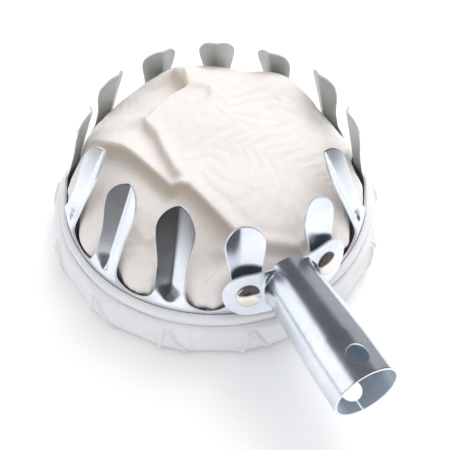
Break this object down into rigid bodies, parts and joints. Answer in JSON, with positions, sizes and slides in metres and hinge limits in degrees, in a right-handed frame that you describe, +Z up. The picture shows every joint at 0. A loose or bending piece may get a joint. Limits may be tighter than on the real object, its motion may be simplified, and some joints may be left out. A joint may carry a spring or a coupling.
{
  "type": "fruit picker basket",
  "caption": "Ring of inward-leaning sheet-steel claws with a cloth bag, on a riveted pole socket, for picking fruit from a tree.",
  "frame": {"origin": "centre of the claw ring, on the plane the bag rests on", "axes": "+Z up along the ring's axis; the pole socket points along -Y; +X to the right seen from the socket"},
  "size_m": [0.172, 0.2283, 0.0745],
  "materials": {
    "zinc_strip": "bright zinc plate, cut edges",
    "zinc_socket": "bright zinc plate, drawn lengthwise",
    "rivet_nickel": "warm nickel plate",
    "hem_cotton": "stitched cotton hem",
    "skirt_cotton": "white cotton with sewn ridges",
    "bag_cotton": "plain weave cream cotton",
    "tie_cord": "twisted white cord"
  },
  "bodies": {
    "root": {"claw_crown": "zinc_strip", "pole_socket": "zinc_socket", "rivet_left": "rivet_nickel", "rivet_right": "rivet_nickel", "bag_hem": "hem_cotton", "bag_skirt": "skirt_cotton", "bag_pouch": "bag_cotton", "bag_tie_01": "tie_cord", "bag_tie_02": "tie_cord", "bag_tie_03": "tie_cord", "bag_tie_04": "tie_cord", "bag_tie_05": "tie_cord", "bag_tie_06": "tie_cord", "bag_tie_07": "tie_cord", "bag_tie_08": "tie_cord", "bag_tie_09": "tie_cord", "bag_tie_10": "tie_cord", "bag_tie_11": "tie_cord", "bag_tie_12": "tie_cord"}
  },
  "joints": []
}
